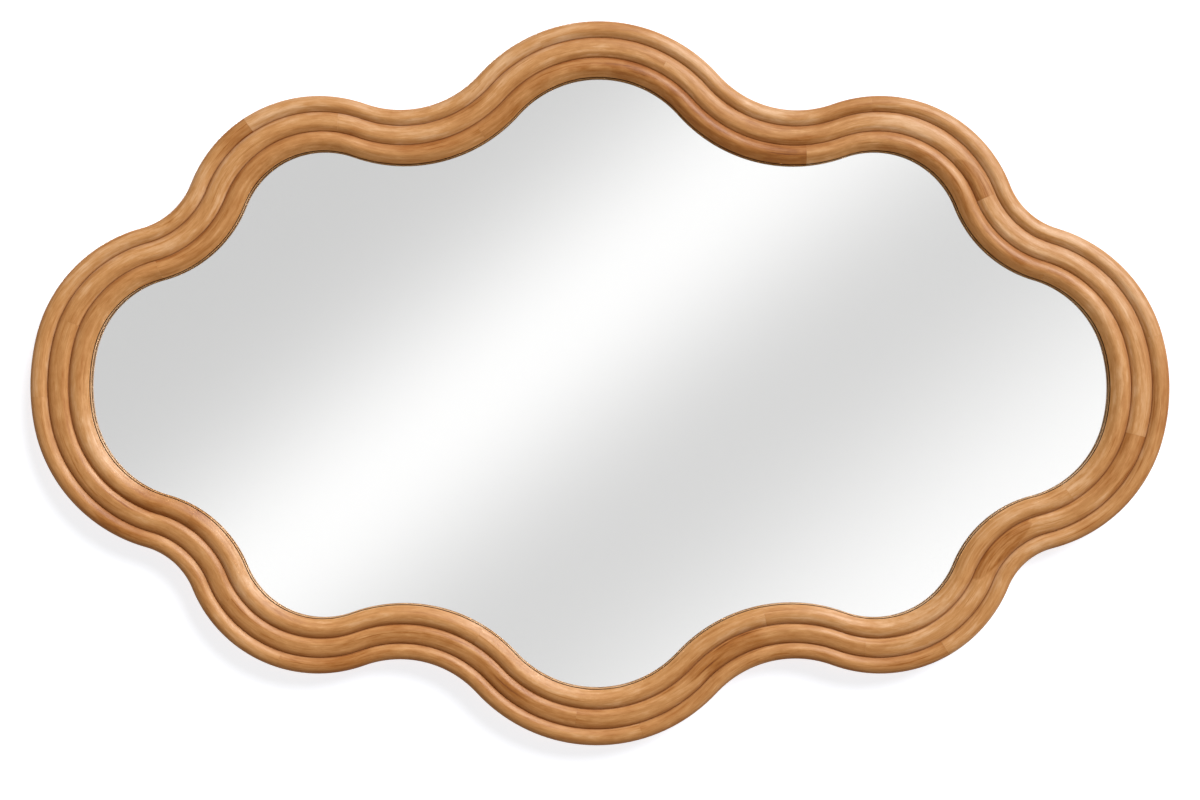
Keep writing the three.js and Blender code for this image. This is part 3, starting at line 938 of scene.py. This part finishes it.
def silvering():
    material, work = new_finish("silvering")
    cloud = work.noise(work.place(), (12.0, 12.0, 12.0), 2.0)
    work.surface({
        "Base Color": work.mix(cloud, (0.975, 0.972, 0.970, 1.0), (0.968, 0.966, 0.964, 1.0)),
        "Metallic": 1.0,
        "Roughness": 0.0,
    })
    return material


def backing_paint():
    material, work = new_finish("backing_paint")
    place_on = work.place()
    mottle = work.noise(place_on, (60.0, 60.0, 60.0), 3.0)
    fine = work.noise(place_on, (900.0, 900.0, 900.0), 2.0)
    work.surface({
        "Base Color": work.mix(mottle, colour(92, 98, 104), colour(112, 117, 122)),
        "Roughness": 0.55 + fine * 0.2,
        "Normal": work.bump(fine, 0.2, 0.0002),
    })
    return material


def grey_card():
    material, work = new_finish("grey_card")
    place_on = work.place()
    pulp = work.noise(place_on, (260.0, 260.0, 260.0), 4.0, 0.6)
    fleck = work.between(work.noise(place_on, (900.0, 900.0, 900.0), 2.0), 0.62, 0.75)
    base = work.mix(pulp, colour(168, 148, 118), colour(192, 172, 142))
    work.surface({
        "Base Color": work.mix(fleck * 0.5, base, colour(120, 104, 84)),
        "Roughness": 0.85 + pulp * 0.1,
        "Normal": work.bump(pulp, 0.3, 0.0003),
    })
    return material


def hardboard():
    material, work = new_finish("hardboard")
    place_on = work.place()
    cloud = work.noise(place_on, (14.0, 14.0, 14.0), 3.0)
    pulp = work.noise(place_on, (190.0, 190.0, 190.0), 4.0, 0.65)
    strand = work.noise(place_on, (1400.0, 900.0, 260.0), 3.0, 0.6)
    fleck = work.between(work.noise(place_on, (700.0, 700.0, 700.0), 2.0), 0.60, 0.74)
    shade = (cloud * 0.45 + pulp * 0.4 + strand * 0.25 - 0.05).clamped()
    base = work.ramp(shade, [
        (0.2, colour(96, 66, 42)),
        (0.55, colour(126, 90, 60)),
        (0.9, colour(150, 112, 78)),
    ])
    work.surface({
        "Base Color": work.mix(fleck * 0.55, base, colour(70, 46, 30)),
        "Roughness": 0.62 + pulp * 0.2,
        "Normal": work.bump(pulp * 0.6 + strand * 0.4, 0.35, 0.0003),
    })
    return material


def plated_steel():
    material, work = new_finish("plated_steel")
    place_on = work.place()
    cloud = work.noise(place_on, (420.0, 420.0, 420.0), 3.0)
    scratch = work.noise(place_on, (2600.0, 2600.0, 240.0), 2.0, 0.6)
    work.surface({
        "Base Color": work.mix(cloud, colour(160, 162, 166), colour(188, 188, 186)),
        "Metallic": 1.0,
        "Roughness": 0.22 + cloud * 0.16 + scratch * 0.1,
        "Normal": work.bump(scratch, 0.12, 0.0001),
    })
    return material


def soft_rubber():
    material, work = new_finish("soft_rubber")
    place_on = work.place()
    cloud = work.noise(place_on, (300.0, 300.0, 300.0), 3.0)
    fine = work.noise(place_on, (2400.0, 2400.0, 2400.0), 2.0)
    work.surface({
        "Base Color": work.mix(cloud, colour(206, 207, 203), colour(226, 226, 221)),
        "Roughness": 0.38 + fine * 0.2,
        "Normal": work.bump(fine, 0.15, 0.0001),
        "Subsurface Weight": 0.2,
        "Subsurface Radius": (0.004, 0.004, 0.004),
    })
    return material


# ---- Stage, lights and camera ----

def rays(work):
    """Whether a ray comes from the camera, and whether it comes by way of metal or glass."""
    path = work.node("ShaderNodeLightPath", {}, {}).socket.node.outputs
    camera_ray, glossy, through = [
        Value(work, path[name]) for name in ("Is Camera Ray", "Is Glossy Ray", "Is Transmission Ray")
    ]
    return camera_ray, (glossy + through).clamped()


def white_wall():
    """Plain white as the camera, metal and glass see it, and nothing to the lights or from behind."""
    material, work = new_finish("white_wall")
    camera_ray, mirrored_ray = rays(work)
    seen = (camera_ray + mirrored_ray).clamped()
    behind = work.node("ShaderNodeNewGeometry", {}, {}, "Backfacing")
    paint = work.node("ShaderNodeBsdfDiffuse", {}, {"Color": WALL_PAINT})
    glow = work.node("ShaderNodeEmission", {}, {"Color": WALL_GLOW, "Strength": 0.735})
    both = work.node("ShaderNodeAddShader", {}, {0: paint, 1: glow})
    clear = work.node("ShaderNodeBsdfTransparent", {}, {})
    shown = work.node("ShaderNodeMixShader", {}, {0: seen * (1 - behind), 1: clear, 2: both})
    work.node("ShaderNodeOutputMaterial", {}, {0: shown})
    return material


def wall():
    wide, high = WALL_REACH
    corners = [(-wide, -high), (wide, -high), (wide, high), (-wide, high)]
    points = [(x, WALL_GAP, z) for x, z in corners]
    new_piece("wall", points, [(0, 1, 2, 3)], [white_wall()])


def studio_light():
    """The studio round the mirror: pale, with long soft lights slanting across it."""
    world = bpy.data.worlds.new("studio")
    bpy.context.scene.world = world
    world.use_nodes = True
    work = Finish(world.node_tree)
    towards = work.node("ShaderNodeTexCoord", {}, {}, "Generated")
    x, _, z = work.split(towards)
    slant = x * STUDIO_SLANT[0] + z * STUDIO_SLANT[1]
    soft = STUDIO_LEVEL
    for level, middle, width in LIGHT_BANDS:
        soft = soft + level * ((slant - middle) / width).bell()
    seen, mirrored = rays(work)
    mirrored = mirrored * (1 - seen)
    fill = 1 - seen - mirrored
    strength = seen + mirrored * soft + fill * FILL_LEVEL
    tint = work.mix(fill, WHITE, FILL_TINT)
    glow = work.node("ShaderNodeBackground", {}, {"Color": tint, "Strength": strength})
    work.node("ShaderNodeOutputWorld", {}, {0: glow})


def lamp(name, towards, strength, spread, tint=(1.0, 1.0, 1.0)):
    """A far lamp, spread degrees wide. towards is the direction from the object to the lamp."""
    light = bpy.data.lights.new(name, "SUN")
    light.energy = strength
    light.color = tint
    light.angle = math.radians(spread)
    light.cycles.use_multiple_importance_sampling = False
    piece = bpy.data.objects.new(name, light)
    bpy.context.scene.collection.objects.link(piece)
    piece.rotation_euler = Vector(towards).to_track_quat("Z", "Y").to_euler()


def camera():
    """Straight in front of the mirror, about three metres away."""
    data = bpy.data.cameras.new("camera")
    data.lens = CAMERA_LENS
    data.sensor_width = FILM_WIDTH
    piece = bpy.data.objects.new("camera", data)
    bpy.context.scene.collection.objects.link(piece)
    piece.location = Vector(CAMERA_PLACE) * MM
    piece.rotation_euler = (math.radians(90), 0, 0)
    bpy.context.scene.camera = piece


camera()
studio_light()
lamp("key_lamp", (0.50, -0.63, 0.595), 3.45, 36, (0.96, 1.0, 1.10))
lamp("back_lamp", (-0.30, 0.90, 0.32), 2.2, 30)
wall()
staves(satin_wood())
mirror_glass(clear_glass(), silvering(), backing_paint())
backing(grey_card(), hardboard())
steel = plated_steel()
screws(steel)
for side, x in SIDES.items():
    strap(side, x, steel)
    d_ring(side, x, steel)
pads(soft_rubber())
bpy.context.scene.view_settings.view_transform = "Standard"
